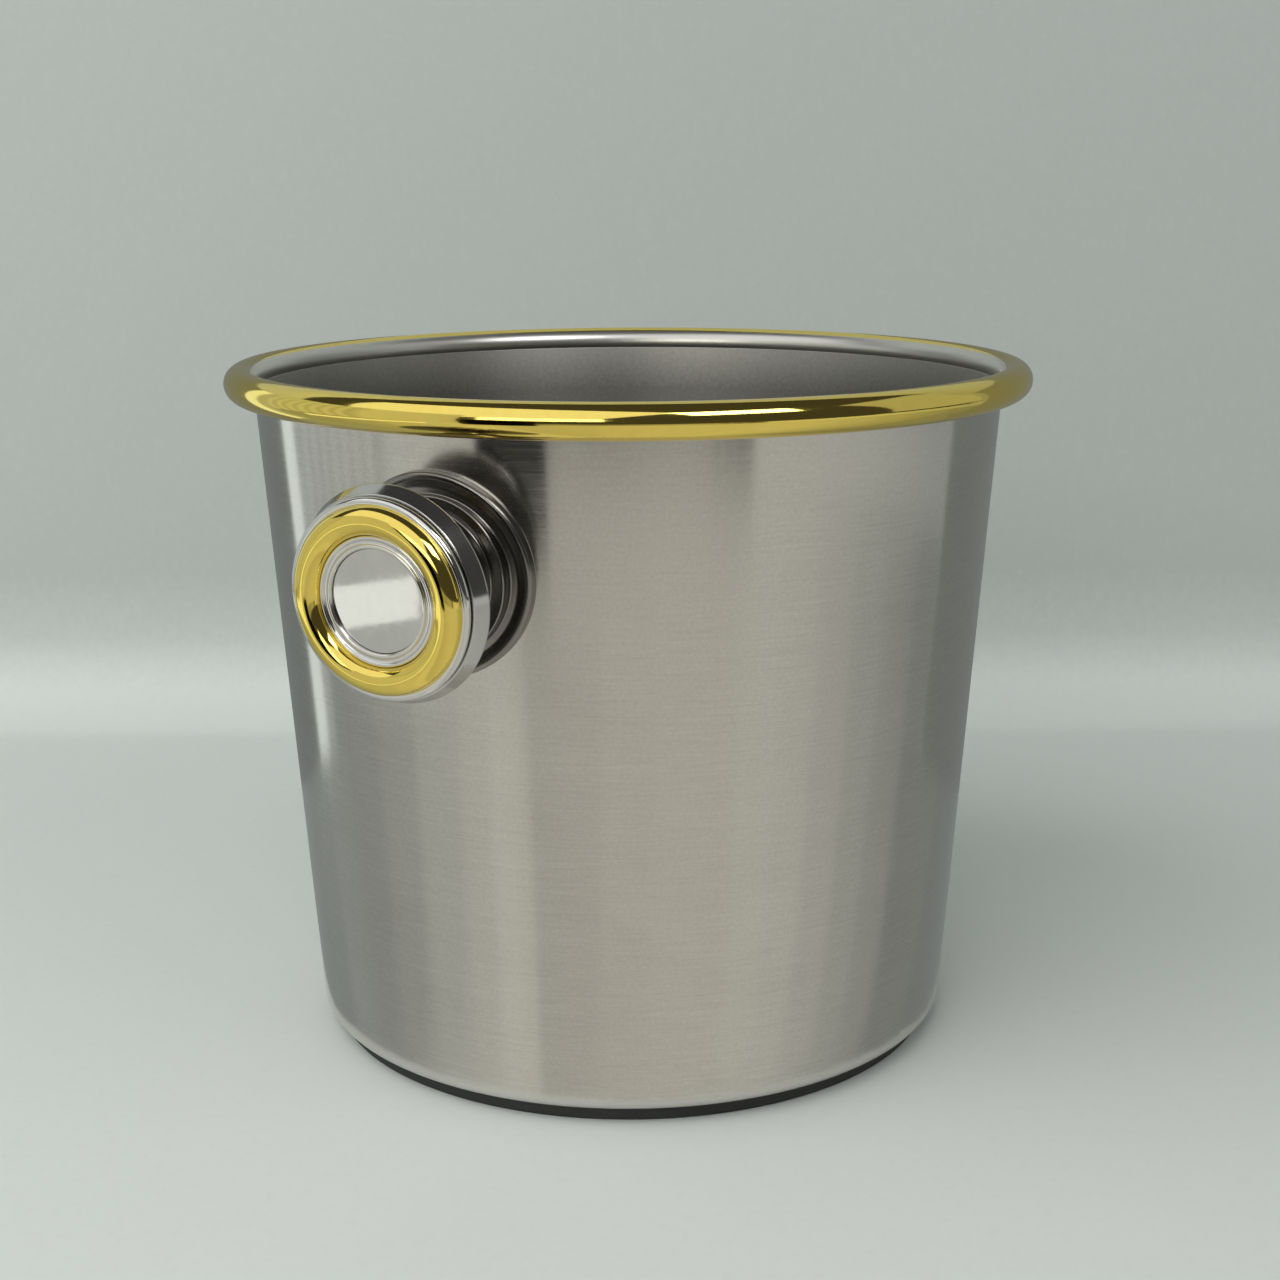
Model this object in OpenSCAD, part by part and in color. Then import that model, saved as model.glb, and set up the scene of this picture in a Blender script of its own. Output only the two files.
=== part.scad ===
// Champagne bucket: a thin spun steel bucket with a tubular gilt rim, a black foot pad
// and two fixed knob handles, each clamped through the wall by one threaded stud.
// +Z is up, the origin is at the middle of the standing face, and the knobs lie along X.

/* [Bucket] */
// Height from the standing face to the top of the rim
bucket_h = 200; // [170:1:230]
// Outer radius of the wall at the height of the rim tube's centre
wall_top_r = 109.8; // [104:0.1:116]
// Outer radius of the wall at the underside of the bucket
wall_bottom_r = 96.6; // [92:0.1:102]
// Thickness of the spun sheet
wall_t = 0.9; // [0.8:0.1:1.4]
// Outer radius of the rounded bottom edge
corner_r = 3.5; // [2.5:0.1:6]

/* [Rim] */
// Radius of the rim tube's section
rim_tube_r = 4.8; // [4.2:0.1:6]
// Wall thickness of the rim tube
rim_tube_t = 1.5; // [1.2:0.1:1.8]
// How far the rim tube's centre stands outside the wall
rim_offset = 3.6; // [3.4:0.1:3.8]
// Depth that the sheet's top edge enters the rim tube
rim_rebate = 1.5; // [1.2:0.1:1.8]

/* [Foot pad] */
// Height of the foot pad under the bucket
foot_h = 4.2; // [3:0.1:8]
// Outer radius of the foot pad
foot_r = 92.4; // [86:0.1:93]
// Width of the ring that the pad stands on
foot_w = 16; // [14:0.5:24]
// Depth of the recess inside that ring
foot_recess = 1.2; // [0.6:0.1:2]
// Chamfer on the standing ring's edges
foot_chamfer = 0.6; // [0.3:0.1:0.8]
// Width of each grip groove in the standing ring
grip_w = 1.4; // [1:0.1:1.6]

/* [Handle position] */
// Height at which each knob's axis meets the wall
handle_z = 154.2; // [120:0.1:160]

/* [Rosette] */
// Outer radius of the rosette against the wall
rosette_r = 27; // [25:0.1:30]
// Thickness of the rosette's dish
rosette_t = 1.6; // [1.4:0.1:2.2]
// Height of the raised edge above the dish
rosette_edge_h = 1.0; // [0.5:0.1:1.5]
// Width of the raised edge
rosette_edge_w = 1.9; // [1.5:0.1:3]
// Radius of the raised boss in the middle
boss_r = 21; // [19.2:0.1:22]
// Height of the boss's flat face above the wall
boss_h = 2.8; // [2.6:0.1:3.6]
// Radius of the gasket in its pocket behind the rosette
gasket_r = 18; // [14:0.1:18.2]
// Thickness of the gasket
gasket_t = 0.8; // [0.5:0.1:0.9]

/* [Neck] */
// Radius of the neck's lower ring
neck_ring_r = 18.2; // [16.5:0.1:19]
// Height of each of the neck's two rings
neck_step_h = 1.2; // [0.8:0.1:1.6]
// Radius of the neck's collars above and below the waist
neck_collar_r = 14; // [13:0.1:15]
// Radius of the neck at its waist
neck_waist_r = 9.5; // [8:0.1:11]

/* [Knob] */
// Radius of the knob at its back face
knob_r = 28.4; // [27.5:0.1:30]
// Radius of the knob's tapered side band at its front edge
knob_front_r = 26.3; // [26.2:0.1:27]
// Distance from the wall to the back face of the knob
knob_back = 20.3; // [18:0.1:24]
// Width of the knob's tapered side band
knob_band_w = 4.9; // [4.6:0.1:5.2]
// Thickness of the knob's plate, from its back face to the seat of the gilt ring
knob_plate_t = 5.5; // [5.3:0.1:6.5]
// Section radius of the polished bead round the knob's front
knob_bead_r = 1.3; // [1.1:0.1:1.5]

/* [Knob face] */
// Radius from the knob's axis to the middle of the gilt ring's section
gilt_r = 20.4; // [20:0.1:20.6]
// Radius of the gilt ring's rounded section
gilt_section_r = 3.7; // [3.4:0.1:3.7]
// Radius of the mirror disc
mirror_r = 13.3; // [12:0.1:14]
// Thickness of the mirror disc
mirror_t = 1.6; // [1:0.1:2]

/* [Fasteners] */
// Nominal radius of the stud's thread
thread_r = 3; // [2.5:0.5:4]
// Radius of the washers inside the bucket
washer_r = 9; // [8:0.5:10]
// Thickness of the steel washer
washer_t = 1.2; // [1:0.1:1.6]
// Thickness of the rubber seal washer at its middle
seal_t = 1.5; // [1.2:0.1:2]
// Width across the flats of the cap nut
nut_flats = 10; // [10:0.5:13]
// Height of the cap nut's hexagon
nut_hex_h = 5; // [4:0.1:7]

/* [Hidden] */
$fn = 96;
wall_fn = 480;
fit_gap = 0.05;
hole_gap = 0.25;
cut = 1;
hex_sides = 6;
rim_z = bucket_h - rim_tube_r;
rim_r = wall_top_r + rim_offset;
wall_slope = (wall_top_r - wall_bottom_r) / (rim_z - foot_h);
wall_angle = atan(wall_slope);
shell_top = rim_z - sqrt(pow(rim_tube_r, 2) - pow(rim_offset, 2)) + rim_rebate;
edge_z = foot_h + corner_r;
grip_grooves = 3;
grip_depth = 0.5;
neck_top = knob_back;
neck_ring_top = boss_h + neck_step_h;
neck_collar_bottom = boss_h + 2 * neck_step_h;
neck_upper_ring_r = (neck_ring_r + neck_collar_r) / 2;
waist_arc_r = (neck_top - neck_collar_bottom) / 2;
seat = knob_back + knob_plate_t;
bead_groove_w = 0.5;
bead_groove_depth = 1.2;
bead_inset = 0.4;
knob_chamfer = 0.8;
gilt_centre = seat + 1.4;
bezel_out_r = gilt_r - gilt_section_r;
bezel_top = seat + 1.9;
lip_r = 0.6;
stud_end_in = wall_t + seal_t + washer_t + nut_hex_h + 3;
stud_end_out = seat - 0.5;
nut_seat = wall_t + seal_t + washer_t;
nut_dome_r = nut_flats / 2 - 0.3;
nut_dome_h = 4;
scribe_reach = 45;

// Outer radius of the wall at height z.
function wall_r(z) = wall_bottom_r + wall_slope * (z - foot_h);

// Half section of the bucket's outer form, moved inwards by depth and cut off at top_z.
module bucket_form(depth, top_z) {
    arc_r = corner_r - depth;
    shift = depth / cos(wall_angle);
    centre_r = wall_r(edge_z) - corner_r / cos(wall_angle);
    polygon([
        [0, edge_z - arc_r],
        [centre_r, edge_z - arc_r],
        [centre_r + arc_r * cos(wall_angle), edge_z - arc_r * sin(wall_angle)],
        [wall_r(top_z) - shift, top_z],
        [0, top_z],
    ]);
    intersection() {
        translate([centre_r, edge_z]) circle(arc_r);
        translate([centre_r, edge_z - corner_r]) square([corner_r, corner_r]);
    }
}

// Solid cone that follows the wall's outer face, grown by grow, near the handles.
module wall_cone(grow) {
    side = grow / cos(wall_angle);
    translate([0, 0, handle_z - scribe_reach])
        cylinder(
            r1 = wall_r(handle_z - scribe_reach) + side,
            r2 = wall_r(handle_z + scribe_reach) + side,
            h = 2 * scribe_reach,
            $fn = wall_fn
        );
}

// Places a piece on a knob's axis: its +Z leaves the wall square to it, from the outer face.
module on_handle(side) {
    mirror([side == "left" ? 1 : 0, 0, 0])
        translate([wall_r(handle_z), 0, handle_z])
            rotate([0, 90 + wall_angle, 0])
                children();
}

// Ring or disc on the knob's axis between two distances from the wall.
module turned(r_out, from, to, r_in = 0) {
    translate([0, 0, from])
        difference() {
            cylinder(r = r_out, h = to - from);
            if (r_in > 0)
                translate([0, 0, -cut]) cylinder(r = r_in, h = to - from + 2 * cut);
        }
}

module bucket_shell() {
    color("silver")
        difference() {
            rotate_extrude()
                difference() {
                    bucket_form(0, shell_top);
                    bucket_form(wall_t, shell_top + cut);
                }
            for (side = ["left", "right"])
                on_handle(side) turned(thread_r + hole_gap, -2 * cut, 2 * cut);
        }
}

module rim_tube() {
    color("gold")
        rotate_extrude()
            difference() {
                translate([rim_r, rim_z]) circle(rim_tube_r);
                translate([rim_r, rim_z]) circle(rim_tube_r - rim_tube_t);
                difference() {
                    bucket_form(0, shell_top);
                    bucket_form(wall_t, shell_top);
                }
            }
}

module foot_pad() {
    color([0.1, 0.1, 0.1])
        rotate_extrude()
            difference() {
                polygon([
                    [0, foot_recess],
                    [foot_r - foot_w, foot_recess],
                    [foot_r - foot_w, foot_chamfer],
                    [foot_r - foot_w + foot_chamfer, 0],
                    [foot_r - foot_chamfer, 0],
                    [foot_r, foot_chamfer],
                    [foot_r, foot_h],
                    [0, foot_h],
                ]);
                for (i = [1:grip_grooves])
                    translate([foot_r - i * foot_w / (grip_grooves + 1) - grip_w / 2, -cut])
                        square([grip_w, cut + grip_depth]);
            }
}

// Saddle plate on the wall: a disc about the knob's axis, between two offsets of the wall.
module saddle(side, r_out, grow_from, grow_to, r_in) {
    difference() {
        intersection() {
            on_handle(side) turned(r_out, -scribe_reach / 4, scribe_reach / 4, r_in);
            wall_cone(grow_to);
        }
        wall_cone(grow_from);
    }
}

module rosette(side) {
    color("silver")
        difference() {
            union() {
                saddle(side, rosette_r, 0, rosette_t, thread_r + hole_gap);
                saddle(
                    side, rosette_r, 0, rosette_t + rosette_edge_h,
                    rosette_r - rosette_edge_w
                );
                difference() {
                    on_handle(side)
                        turned(boss_r, -boss_h, boss_h, thread_r + hole_gap);
                    wall_cone(0);
                }
            }
            saddle(side, gasket_r, -cut, gasket_t, 0);
        }
}

module rosette_gasket(side) {
    color([0.15, 0.15, 0.15]) saddle(side, gasket_r, 0, gasket_t, thread_r + hole_gap);
}

module neck(side) {
    color("silver")
        on_handle(side)
            rotate_extrude()
                difference() {
                    polygon([
                        [thread_r + hole_gap, boss_h],
                        [neck_ring_r, boss_h],
                        [neck_ring_r, neck_ring_top],
                        [neck_upper_ring_r, neck_ring_top],
                        [neck_upper_ring_r, neck_collar_bottom],
                        [neck_collar_r, neck_collar_bottom],
                        [neck_collar_r, neck_top],
                        [thread_r + hole_gap, neck_top],
                    ]);
                    translate([neck_waist_r + waist_arc_r, neck_top - waist_arc_r])
                        circle(waist_arc_r);
                }
}

module knob_body(side) {
    band_top = knob_back + knob_band_w;
    bead_z = band_top + bead_groove_w + knob_bead_r / 2;
    bead_centre_r = knob_front_r - bead_inset - knob_bead_r;
    groove_r = knob_front_r - bead_groove_depth;
    color("silver")
        on_handle(side)
            rotate_extrude() {
                polygon([
                    [thread_r + fit_gap, knob_back],
                    [knob_r - knob_chamfer, knob_back],
                    [knob_r, knob_back + knob_chamfer],
                    [knob_front_r, band_top],
                    [groove_r, band_top],
                    [groove_r, seat],
                    [thread_r + fit_gap, seat],
                ]);
                difference() {
                    translate([bead_centre_r, bead_z]) circle(knob_bead_r);
                    translate([gilt_r, gilt_centre]) circle(gilt_section_r);
                    translate([0, band_top - 2 * knob_bead_r])
                        square([knob_r + cut, 2 * knob_bead_r + bead_groove_w]);
                }
            }
}

module gilt_ring(side) {
    color("gold")
        on_handle(side)
            rotate_extrude()
                difference() {
                    translate([gilt_r, gilt_centre]) circle(gilt_section_r);
                    translate([0, seat - 2 * gilt_section_r])
                        square([2 * gilt_r, 2 * gilt_section_r]);
                }
}

module bezel(side) {
    color("silver")
        on_handle(side)
            rotate_extrude() {
                translate([mirror_r, seat]) square([bezel_out_r - mirror_r, bezel_top - seat]);
                for (r = [mirror_r + lip_r, bezel_out_r - lip_r])
                    translate([r, bezel_top]) circle(lip_r);
            }
}

module mirror_disc(side) {
    color("gainsboro") on_handle(side) turned(mirror_r - fit_gap, seat, seat + mirror_t);
}

module stud(side) {
    color("silver") on_handle(side) turned(thread_r, -stud_end_in, stud_end_out);
}

module seal_washer(side) {
    color([0.15, 0.15, 0.15])
        intersection() {
            on_handle(side)
                turned(washer_r, -wall_t - seal_t, cut, thread_r + hole_gap);
            wall_cone(-wall_t);
        }
}

module steel_washer(side) {
    color("silver")
        on_handle(side) turned(washer_r, -nut_seat, washer_t - nut_seat, thread_r + hole_gap);
}

module cap_nut(side) {
    bore_end = stud_end_in + fit_gap;
    dome_base = nut_seat + nut_hex_h;
    color("silver")
        on_handle(side)
            difference() {
                union() {
                    translate([0, 0, -dome_base])
                        cylinder(r = nut_flats / 2 / cos(30), h = nut_hex_h, $fn = hex_sides);
                    translate([0, 0, -dome_base - nut_dome_h / 2])
                        cylinder(r = nut_dome_r, h = nut_dome_h / 2);
                    translate([0, 0, -dome_base - nut_dome_h / 2])
                        intersection() {
                            sphere(nut_dome_r);
                            translate([0, 0, -nut_dome_r])
                                cylinder(r = nut_dome_r, h = nut_dome_r);
                        }
                }
                turned(thread_r + fit_gap, -bore_end, 0);
            }
}

bucket_shell();
rim_tube();
foot_pad();
rosette("left");  // left_rosette
rosette_gasket("left");  // left_rosette_gasket
neck("left");  // left_neck
knob_body("left");  // left_knob_body
gilt_ring("left");  // left_gilt_ring
bezel("left");  // left_bezel
mirror_disc("left");  // left_mirror_disc
stud("left");  // left_stud
seal_washer("left");  // left_seal_washer
steel_washer("left");  // left_steel_washer
cap_nut("left");  // left_cap_nut
rosette("right");  // right_rosette
rosette_gasket("right");  // right_rosette_gasket
neck("right");  // right_neck
knob_body("right");  // right_knob_body
gilt_ring("right");  // right_gilt_ring
bezel("right");  // right_bezel
mirror_disc("right");  // right_mirror_disc
stud("right");  // right_stud
seal_washer("right");  // right_seal_washer
steel_washer("right");  // right_steel_washer
cap_nut("right");  // right_cap_nut
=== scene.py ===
"""Champagne bucket: finished meshes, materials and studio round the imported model."""

import logging
import math
from dataclasses import dataclass, field, replace
from enum import Enum

import bmesh
import bpy
from mathutils import Matrix, Vector


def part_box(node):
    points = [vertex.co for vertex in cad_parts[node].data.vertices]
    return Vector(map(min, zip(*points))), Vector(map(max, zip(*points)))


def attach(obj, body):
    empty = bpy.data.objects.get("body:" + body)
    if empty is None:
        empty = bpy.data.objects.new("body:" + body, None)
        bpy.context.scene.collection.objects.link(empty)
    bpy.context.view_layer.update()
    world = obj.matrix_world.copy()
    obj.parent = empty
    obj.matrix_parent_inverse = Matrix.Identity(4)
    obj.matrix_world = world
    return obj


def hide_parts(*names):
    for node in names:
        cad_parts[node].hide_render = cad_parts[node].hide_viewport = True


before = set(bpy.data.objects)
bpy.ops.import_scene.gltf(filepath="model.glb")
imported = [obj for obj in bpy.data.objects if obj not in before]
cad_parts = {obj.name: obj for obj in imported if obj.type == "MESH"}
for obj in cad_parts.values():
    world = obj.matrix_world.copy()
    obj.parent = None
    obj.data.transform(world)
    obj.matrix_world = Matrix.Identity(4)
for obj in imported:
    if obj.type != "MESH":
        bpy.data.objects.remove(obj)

log = logging.getLogger("champagne_bucket")

MM = 0.001
BODY = "root"

Pair = tuple[float, float]
Triple = tuple[float, float, float]
Colour = Triple
Inputs = dict[str | int, object]
Socket = bpy.types.NodeSocket


class Slot(Enum):
    """The record's material slots."""

    STEEL = "satin_steel"
    GILT = "polished_gilt"
    CHROME = "polished_chrome"
    MIRROR = "mirror_face"
    FOOT = "black_rubber"
    SEAL = "seal_rubber"
    PLAIN = "plain_steel"


class Side(Enum):
    """The two handles: the name used in the nodes and the turn about +Z from the right one."""

    LEFT = ("left", math.pi)
    RIGHT = ("right", 0.0)

    @property
    def label(self) -> str:
        """The side's word in the node names."""
        return self.value[0]

    @property
    def turn(self) -> float:
        """Angle about +Z, in radians, that carries the right handle to this side."""
        return self.value[1]


# ---- nodes and objects


def feed(target: Socket, value: object) -> None:
    """Joins a socket to an input, or sets the input's own value.

    Args:
        target: The input.
        value: The socket, number, vector or colour.
    """
    if isinstance(value, Socket):
        target.id_data.links.new(value, target)
    elif target.type == "RGBA":
        target.default_value = (*value, 1.0)
    else:
        target.default_value = value


def add_node(
    tree: bpy.types.NodeTree, kind: str, inputs: Inputs | None = None, **settings: object
) -> bpy.types.Node:
    """Adds a node to a tree.

    Args:
        tree: The tree.
        kind: The node's type name.
        inputs: A socket or a value for an input, by the input's name or number.
        settings: Properties of the node, by name.

    Returns:
        The new node.
    """
    made = tree.nodes.new(kind)
    for key, value in settings.items():
        setattr(made, key, value)
    for key, value in (inputs or {}).items():
        feed(made.inputs[key], value)
    return made


def add_object(name: str, data: bpy.types.ID) -> bpy.types.Object:
    """Adds an object to the scene.

    Args:
        name: Its name.
        data: Its mesh, light or camera.

    Returns:
        The new object.
    """
    made = bpy.data.objects.new(name, data)
    bpy.context.scene.collection.objects.link(made)
    return made


def add_strip(name: str, points: list[Triple], turn: Matrix) -> bpy.types.Object:
    """Adds a strip of faces to the scene.

    Args:
        name: Its name.
        points: The points of its two edges, in pairs.
        turn: Carries them to the bucket's axes.

    Returns:
        The strip.
    """
    faces = [(i - 2, i - 1, i + 1, i) for i in range(2, len(points), 2)]
    mesh = bpy.data.meshes.new(name)
    mesh.from_pydata(points, [], faces)
    mesh.transform(turn)
    return add_object(name, mesh)


class NodeSheet:
    """A material's node tree, with short calls that add and join its nodes."""

    NOISE_LOW = 0.25
    NOISE_HIGH = 0.75

    def __init__(self, name: str) -> None:
        """Starts a material.

        Args:
            name: The material's name.
        """
        self.material = bpy.data.materials.new(name)
        self.material.use_nodes = True
        self.tree = self.material.node_tree
        self.shader = self.tree.nodes["Principled BSDF"]

    def node(self, kind: str, inputs: Inputs | None = None, **settings: object) -> bpy.types.Node:
        """Adds a node to the sheet, as add_node does."""
        return add_node(self.tree, kind, inputs, **settings)

    def finish(self, inputs: Inputs) -> bpy.types.Material:
        """Feeds the shader.

        Args:
            inputs: A socket or a value for each of its inputs, by name.

        Returns:
            The material.
        """
        for key, value in inputs.items():
            feed(self.shader.inputs[key], value)
        return self.material

    def place(self, scale: Triple = (1.0, 1.0, 1.0)) -> Socket:
        """Object coordinates times the number of pattern cells in a metre, along each axis."""
        own = self.node("ShaderNodeTexCoord").outputs["Object"]
        return self.node("ShaderNodeMapping", {"Vector": own, "Scale": scale}).outputs["Vector"]

    def height(self) -> Socket:
        """Height over the standing face."""
        return self.node("ShaderNodeSeparateXYZ", {"Vector": self.place()}).outputs["Z"]

    def trait(self, name: str, output: str = "Fac") -> Socket:
        """Reads an attribute of the mesh."""
        return self.node("ShaderNodeAttribute", attribute_name=name).outputs[output]

    def noise(self, scale: Triple, detail: float = 2.0, rough: float = 0.5) -> Socket:
        """Noise of about 0 to 1, with so many cells a metre, finer layers and their strength."""
        inputs = {"Vector": self.place(scale), "Scale": 1.0, "Detail": detail, "Roughness": rough}
        return self.node("ShaderNodeTexNoise", inputs).outputs["Fac"]

    def carry(
        self, value: Socket, low: float, high: float, start: float = 0.0, end: float = 1.0
    ) -> Socket:
        """Carries a value from the range start to end to low to high, and holds it there."""
        ranges = {"From Min": start, "From Max": end, "To Min": low, "To Max": high}
        return self.node("ShaderNodeMapRange", {"Value": value, **ranges}).outputs["Result"]

    def spread(self, noise: Socket, low: float, high: float) -> Socket:
        """Carries the middle half of a noise's range to a range."""
        return self.carry(noise, low, high, self.NOISE_LOW, self.NOISE_HIGH)

    def climb(self, low: float, high: float, fleck: Socket, ragged: float) -> Socket:
        """A rise from 0 to 1 between two heights, made ragged by a noise."""
        rise = self.carry(self.height(), 0.0, 1.0, low, high)
        return self.sum_of(rise, self.spread(fleck, -ragged, ragged))

    def blend(self, share: Socket, first: Colour | Socket, second: Colour | Socket) -> Socket:
        """Mixes two colours, the first where the share is 0 and the second where it is 1."""
        mix = self.node("ShaderNodeMix", {0: share, 6: first, 7: second}, data_type="RGBA")
        return mix.outputs[2]

    def bump(self, height: Socket, depth: float, under: Socket | None = None) -> Socket:
        """Turns a height into a changed normal.

        Args:
            height: The height's socket, about 0 to 1.
            depth: Metres that a height of 1 stands for.
            under: A normal that this one is laid over.

        Returns:
            The normal's socket.
        """
        inputs = {"Strength": 1.0, "Distance": depth, "Height": height}
        if under is not None:
            inputs["Normal"] = under
        return self.node("ShaderNodeBump", inputs).outputs["Normal"]

    def sum_of(self, *values: Socket) -> Socket:
        """Adds values.

        Args:
            values: The sockets to add.

        Returns:
            The sum's socket.
        """
        total = values[0]
        for value in values[1:]:
            total = self.node("ShaderNodeMath", {0: total, 1: value}, operation="ADD").outputs[0]
        return total


# ---- finishes


@dataclass(frozen=True)
class SatinSteel:
    """Spun steel with a fine grain round the axis; duller inside, with painted shade deep down
    and painted light at the lip.
    """

    slot: Slot = Slot.STEEL
    colour: Colour = (0.74, 0.72, 0.68)
    deep_colour: Colour = (0.54, 0.52, 0.49)
    roughness: float = 0.15
    inner_roughness: float = 0.55
    anisotropy: float = 0.7
    quarter_turn: float = 0.25
    grain_pitch: float = 0.5 * MM
    grain_length: float = 18 * MM
    grain_depth: float = 0.0015 * MM
    grain_dulling: float = 0.03
    grain_shade: Pair = (0.1, 0.45)
    cloud_scale: Triple = (28.0, 28.0, 60.0)
    cloud_dulling: float = 0.02
    cloud_shade: Pair = (0.0, 0.2)
    fleck_pitch: float = 0.9 * MM
    fleck_shade: Pair = (0.0, 0.35)
    wave_width: float = 14 * MM
    wave_depth: float = 0.012 * MM
    waves_up: float = 6.0
    # Inside colours: painted shade deep in the bucket, rising between lip_low and lip_high to
    # painted light at the lip.
    deep_inner: Colour = (0.28, 0.273, 0.25)
    lip_inner: Colour = (0.58, 0.57, 0.535)
    lip_low: float = 179 * MM
    lip_high: float = 193 * MM
    # Noise that makes the edge of the inside's painted shading ragged.
    speckle_scale: float = 900.0
    speckle: float = 0.15

    def build(self) -> bpy.types.Material:
        """Makes the material."""
        sheet = NodeSheet(self.slot.value)
        along, across = 1 / self.grain_length, 1 / self.grain_pitch
        grain = sheet.noise((along, along, across), detail=3.0, rough=0.6)
        cloud = sheet.noise(self.cloud_scale, detail=4.0, rough=0.6)
        fleck = sheet.noise((1 / self.fleck_pitch,) * 3, detail=2.0, rough=0.7)
        wave = sheet.noise((1 / self.wave_width, 1 / self.wave_width, self.waves_up), detail=2.0)
        inner = sheet.trait("inner")
        rough = sheet.sum_of(
            sheet.carry(inner, self.roughness, self.inner_roughness),
            sheet.spread(grain, -self.grain_dulling, self.grain_dulling),
            sheet.spread(cloud, -self.cloud_dulling, self.cloud_dulling),
        )
        shade = sheet.sum_of(
            sheet.spread(grain, *self.grain_shade),
            sheet.spread(fleck, *self.fleck_shade),
            sheet.spread(cloud, *self.cloud_shade),
        )
        speckle = sheet.noise((self.speckle_scale,) * 3, detail=3.0)
        # The inside's painted shade, darker down in the bucket and lighter at the lip.
        rise = sheet.climb(self.lip_low, self.lip_high, speckle, self.speckle)
        outside = sheet.blend(shade, self.deep_colour, self.colour)
        inside = sheet.blend(rise, self.deep_inner, self.lip_inner)
        slow = sheet.bump(wave, self.wave_depth)
        return sheet.finish({
            "Base Color": sheet.blend(inner, outside, inside),
            "Roughness": rough,
            "Normal": sheet.bump(grain, self.grain_depth, under=slow),
            "Metallic": 1.0,
            "Anisotropic": self.anisotropy,
            "Anisotropic Rotation": self.quarter_turn,
        })


@dataclass(frozen=True)
class PolishedMetal:
    """Polished metal with faint wiping marks and a slow orange-peel wave.

    Where the trait called inner is high it has a second look: on the chrome, painted shade that
    makes the gap behind a knob darker and duller; on the gilt, the bare steel where the gilding
    of the rim stops.
    """

    slot: Slot
    colour: Colour
    worn_colour: Colour
    roughness: float
    # For the chrome this default is painted shade, the dark of the gap behind a knob.
    recess_colour: Colour = (0.28, 0.27, 0.26)
    recess_roughness: float = 0.12
    wipe_scale: Triple = (220.0, 300.0, 260.0)
    wipe_change: float = 0.03
    scratch_scale: Triple = (3200.0, 500.0, 900.0)
    ripple_scale: float = 420.0
    ripple_depth: float = 0.002 * MM

    def build(self) -> bpy.types.Material:
        """Makes the material."""
        sheet = NodeSheet(self.slot.value)
        wipe = sheet.noise(self.wipe_scale, detail=4.0, rough=0.65)
        scratch = sheet.noise(self.scratch_scale, detail=2.0, rough=0.7)
        ripple = sheet.noise((self.ripple_scale,) * 3, detail=1.0)
        recess = sheet.trait("inner")
        rough = sheet.sum_of(
            sheet.spread(wipe, self.roughness - self.wipe_change / 2, self.roughness),
            sheet.spread(scratch, 0.0, self.wipe_change),
            sheet.carry(recess, 0.0, self.recess_roughness),
        )
        worn = sheet.blend(sheet.spread(wipe, 0.0, 1.0), self.worn_colour, self.colour)
        return sheet.finish({
            # The second look: painted shade on chrome, bare steel on the gilt.
            "Base Color": sheet.blend(recess, worn, self.recess_colour),
            "Roughness": rough,
            "Normal": sheet.bump(ripple, self.ripple_depth),
            "Metallic": 1.0,
        })


@dataclass(frozen=True)
class MouldedRubber:
    """Black moulded rubber with a fine pebbled skin."""

    slot: Slot
    colour: Colour = (0.012, 0.013, 0.012)
    dusty_colour: Colour = (0.03, 0.031, 0.029)
    pebble: float = 0.5 * MM
    pebble_depth: float = 0.02 * MM
    dust_scale: Triple = (70.0, 70.0, 160.0)
    smoothest: float = 0.5
    roughest: float = 0.68

    def build(self) -> bpy.types.Material:
        """Makes the material."""
        sheet = NodeSheet(self.slot.value)
        skin = sheet.noise((1 / self.pebble,) * 3, detail=3.0)
        dust = sheet.spread(sheet.noise(self.dust_scale, detail=4.0), 0.0, 1.0)
        return sheet.finish({
            "Base Color": sheet.blend(dust, self.colour, self.dusty_colour),
            "Roughness": sheet.spread(skin, self.smoothest, self.roughest),
            "Normal": sheet.bump(skin, self.pebble_depth),
        })


@dataclass(frozen=True)
class TurnedSteel:
    """Plain stainless fasteners with tool marks."""

    slot: Slot = Slot.PLAIN
    colour: Colour = (0.58, 0.57, 0.55)
    deep_colour: Colour = (0.45, 0.44, 0.42)
    mark_scale: Triple = (900.0, 2600.0, 2600.0)
    mark_depth: float = 0.003 * MM
    smoothest: float = 0.22
    roughest: float = 0.38

    def build(self) -> bpy.types.Material:
        """Makes the material."""
        sheet = NodeSheet(self.slot.value)
        marks = sheet.noise(self.mark_scale, detail=3.0)
        shade = sheet.spread(marks, 0.0, 1.0)
        return sheet.finish({
            "Base Color": sheet.blend(shade, self.deep_colour, self.colour),
            "Roughness": sheet.spread(marks, self.smoothest, self.roughest),
            "Normal": sheet.bump(marks, self.mark_depth),
            "Metallic": 1.0,
        })


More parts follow.
